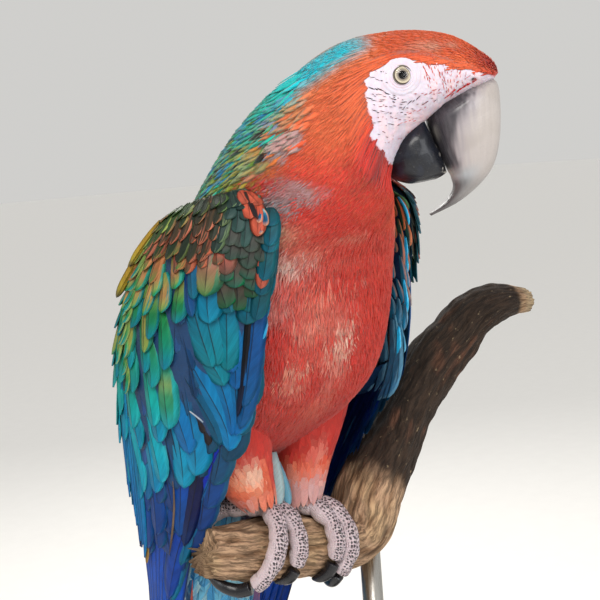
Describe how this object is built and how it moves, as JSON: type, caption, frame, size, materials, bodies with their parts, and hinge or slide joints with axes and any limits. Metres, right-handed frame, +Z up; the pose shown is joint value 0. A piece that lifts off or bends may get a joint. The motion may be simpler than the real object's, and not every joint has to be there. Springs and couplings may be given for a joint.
{
  "type": "macaw on a branch perch",
  "caption": "Life-size still model of a red, green and blue hybrid macaw gripping a crooked branch, held up by a display stand.",
  "frame": {"origin": "centre of the stand base's underside, which is the bottom centre of the whole model's box", "axes": "+Z up; -Y the way the bird's breast faces; +X the bird's left, the way the branch rises"},
  "size_m": [0.308, 0.308, 0.7281],
  "materials": {
    "red_plumage": "soft matte feathers, red with salmon bases",
    "green_plumage": "overlapping covert feathers, olive green to teal with red edges",
    "blue_plumage": "smooth flight feathers and coverts, deep to pale blue",
    "tail_plumage": "long stiff tail feathers, orange red with blue tips",
    "bill_horn": "satin horn, pale with dark grey sides",
    "bill_black": "glossy blue black horn",
    "eye": "wet gloss, pale yellow iris and black pupil",
    "foot_skin": "scaly grey pink skin with dark seams",
    "claw_black": "glossy black horn",
    "branch_wood": "cracked bare wood and dark bark",
    "stand_steel": "fine brushed",
    "stand_wood": "dark stained, satin"
  },
  "bodies": {
    "root": {"trunk": "red_plumage", "neck": "red_plumage", "head": "red_plumage", "bill_upper": "bill_horn", "bill_lower": "bill_black", "eye_right": "eye", "eye_left": "eye", "tail_coverts": "blue_plumage", "tail": "tail_plumage", "wing_right": "green_plumage", "flight_right": "blue_plumage", "wing_left": "green_plumage", "flight_left": "blue_plumage", "thigh_right": "red_plumage", "foot_right": "foot_skin", "thigh_left": "red_plumage", "foot_left": "foot_skin", "claw_right_front_outer": "claw_black", "claw_right_front_inner": "claw_black", "claw_right_back_outer": "claw_black", "claw_right_back_inner": "claw_black", "claw_left_front_outer": "claw_black", "claw_left_front_inner": "claw_black", "claw_left_back_outer": "claw_black", "claw_left_back_inner": "claw_black", "perch_branch": "branch_wood", "stand_rod": "stand_steel", "stand_base": "stand_wood"}
  },
  "joints": []
}
